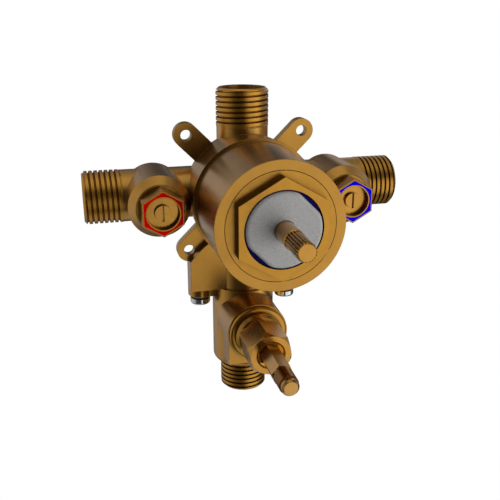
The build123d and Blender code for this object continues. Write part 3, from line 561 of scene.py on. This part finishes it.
for obj, node, material, threads, region, body, slot in (
    (valve, "valve_body", CAST, (THREAD, GROOVE), valve_region, "valve", "cast_brass"),
    (lower, "diverter_body", CAST, (THREAD, GROOVE), outlet_region, "valve", "cast_brass"),
    (spindle, "diverter_spindle", PALE, (FINE, GROOVE), tip_region, "diverter_group", "turned_brass"),
):
    soften(obj)
    paint(obj, material, threads, region)
    round_threads(obj)
    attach(obj, body)
    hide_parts(node)


# Floor and backdrop

FLOOR_Z = -400.0
FLOOR_HALF = 220.0
FLOOR_GLOW = 0.15


def backdrop_material():
    """White to the camera, a dim glow to reflections, and plain pale to other light."""
    material, tree, shader = new_material("white_backdrop")
    shader.inputs["Base Color"].default_value = (0.8, 0.8, 0.8, 1.0)
    shader.inputs["Roughness"].default_value = 0.9
    shader.inputs["Specular IOR Level"].default_value = 0.0
    path = tree.nodes.new("ShaderNodeLightPath")
    seen = path.outputs["Is Camera Ray"]
    for name in ("Is Glossy Ray", "Is Transmission Ray"):
        either = tree.nodes.new("ShaderNodeMath")
        either.operation = "MULTIPLY_ADD"
        either.use_clamp = True
        either.inputs[1].default_value = FLOOR_GLOW
        tree.links.new(path.outputs[name], either.inputs[0])
        tree.links.new(seen, either.inputs[2])
        seen = either.outputs[0]
    glow = tree.nodes.new("ShaderNodeEmission")
    glow.inputs["Color"].default_value = (1.0, 1.0, 1.0, 1.0)
    mix = tree.nodes.new("ShaderNodeMixShader")
    tree.links.new(seen, mix.inputs[0])
    tree.links.new(shader.outputs[0], mix.inputs[1])
    tree.links.new(glow.outputs[0], mix.inputs[2])
    tree.links.new(mix.outputs[0], tree.nodes["Material Output"].inputs["Surface"])
    return material


floor = add_object("floor", mesh_from(
    "floor",
    [(-FLOOR_HALF, -FLOOR_HALF, FLOOR_Z), (FLOOR_HALF, -FLOOR_HALF, FLOOR_Z),
     (FLOOR_HALF, FLOOR_HALF, FLOOR_Z), (-FLOOR_HALF, FLOOR_HALF, FLOOR_Z)],
    [(0, 1, 2, 3)],
))
paint(floor, backdrop_material())


# Camera, fitted to the photograph

AZIMUTH = math.radians(-14.24)
ELEVATION = math.radians(19.11)
DISTANCE = 301.48
TARGET = Vector((2.90, -1.2, -27.19))
back = Vector((
    math.sin(AZIMUTH) * math.cos(ELEVATION),
    -math.cos(AZIMUTH) * math.cos(ELEVATION),
    math.sin(ELEVATION),
))
right = Vector((math.cos(AZIMUTH), math.sin(AZIMUTH), 0.0))
up = back.cross(right)
camera = bpy.data.objects.new("camera", bpy.data.cameras.new("camera"))
camera.data.lens = 50.29
camera.data.sensor_width = 36.0
camera.data.sensor_fit = "HORIZONTAL"
camera.data.clip_start = 0.01
camera.matrix_world = Matrix.Translation((TARGET + back * DISTANCE) * MM) @ Matrix(
    (right, up, back)
).transposed().to_4x4()
bpy.context.scene.collection.objects.link(camera)
bpy.context.scene.camera = camera


# Lamps and world

BASE_LEVEL = 0.04
# Bright patches of the room: azimuth, elevation, inner and outer radius in degrees, level
LOBES = (
    (36, -15, 26, 36, 0.87),
    (66, -12, 8, 26, 0.45),
    (-115, 8, 12, 75, 0.52),
    (15, 80, 18, 48, 0.36),
    (112, 20, 12, 45, 0.35),
    (148, 15, 8, 15, 0.48),
    (170, -6, 3, 13, 0.20),
    (177, -23, 6, 18, 0.28),
    (170, 50, 10, 30, 0.20),
)


def softbox(name, azimuth, elevation, distance, size, power):
    """Square area lamp that faces the valve, placed by direction; distance and size in metres."""
    a = math.radians(azimuth)
    e = math.radians(elevation)
    away = Vector((math.sin(a) * math.cos(e), -math.cos(a) * math.cos(e), math.sin(e)))
    lamp = bpy.data.lights.new(name, "AREA")
    lamp.shape = "RECTANGLE"
    lamp.size = size[0]
    lamp.size_y = size[1]
    lamp.energy = power
    obj = bpy.data.objects.new(name, lamp)
    obj.location = Vector((0.0, 0.0, -0.025)) + away * distance
    obj.rotation_euler = away.to_track_quat("Z", "Y").to_euler()
    bpy.context.scene.collection.objects.link(obj)
    return obj


def lobe(tree, look, azimuth, elevation, inner, outer, level):
    """Soft patch of light round a direction; azimuth runs from the front to the right."""
    a = math.radians(azimuth)
    e = math.radians(elevation)
    dot = tree.nodes.new("ShaderNodeVectorMath")
    dot.operation = "DOT_PRODUCT"
    tree.links.new(look, dot.inputs[0])
    dot.inputs[1].default_value = (math.sin(a) * math.cos(e), -math.cos(a) * math.cos(e), math.sin(e))
    fall = tree.nodes.new("ShaderNodeMapRange")
    fall.interpolation_type = "SMOOTHSTEP"
    fall.inputs["From Min"].default_value = math.cos(math.radians(outer))
    fall.inputs["From Max"].default_value = math.cos(math.radians(inner))
    fall.inputs["To Max"].default_value = level
    tree.links.new(dot.outputs["Value"], fall.inputs["Value"])
    return fall.outputs["Result"]


world = bpy.data.worlds.new("studio")
world.use_nodes = True
bpy.context.scene.world = world
tree = world.node_tree
path = tree.nodes.new("ShaderNodeLightPath")
coords = tree.nodes.new("ShaderNodeTexCoord")
look = coords.outputs["Generated"]
total = None
for entry in LOBES:
    add = tree.nodes.new("ShaderNodeMath")
    add.inputs[1].default_value = BASE_LEVEL
    tree.links.new(lobe(tree, look, *entry), add.inputs[0])
    if total is not None:
        tree.links.new(total, add.inputs[1])
    total = add.outputs[0]
room = tree.nodes["Background"]
tree.links.new(total, room.inputs["Color"])
white = tree.nodes.new("ShaderNodeBackground")
white.inputs["Color"].default_value = (1.0, 1.0, 1.0, 1.0)
choice = tree.nodes.new("ShaderNodeMixShader")
tree.links.new(path.outputs["Is Camera Ray"], choice.inputs[0])
tree.links.new(room.outputs[0], choice.inputs[1])
tree.links.new(white.outputs[0], choice.inputs[2])
tree.links.new(choice.outputs[0], tree.nodes["World Output"].inputs["Surface"])

softbox("key", 15, 78, 0.9, (0.7, 0.7), 0.4)
fill = softbox("fill", 38, -8, 1.2, (1.5, 1.5), 11.8)
fill.visible_glossy = False

bpy.context.scene.view_settings.view_transform = "Standard"
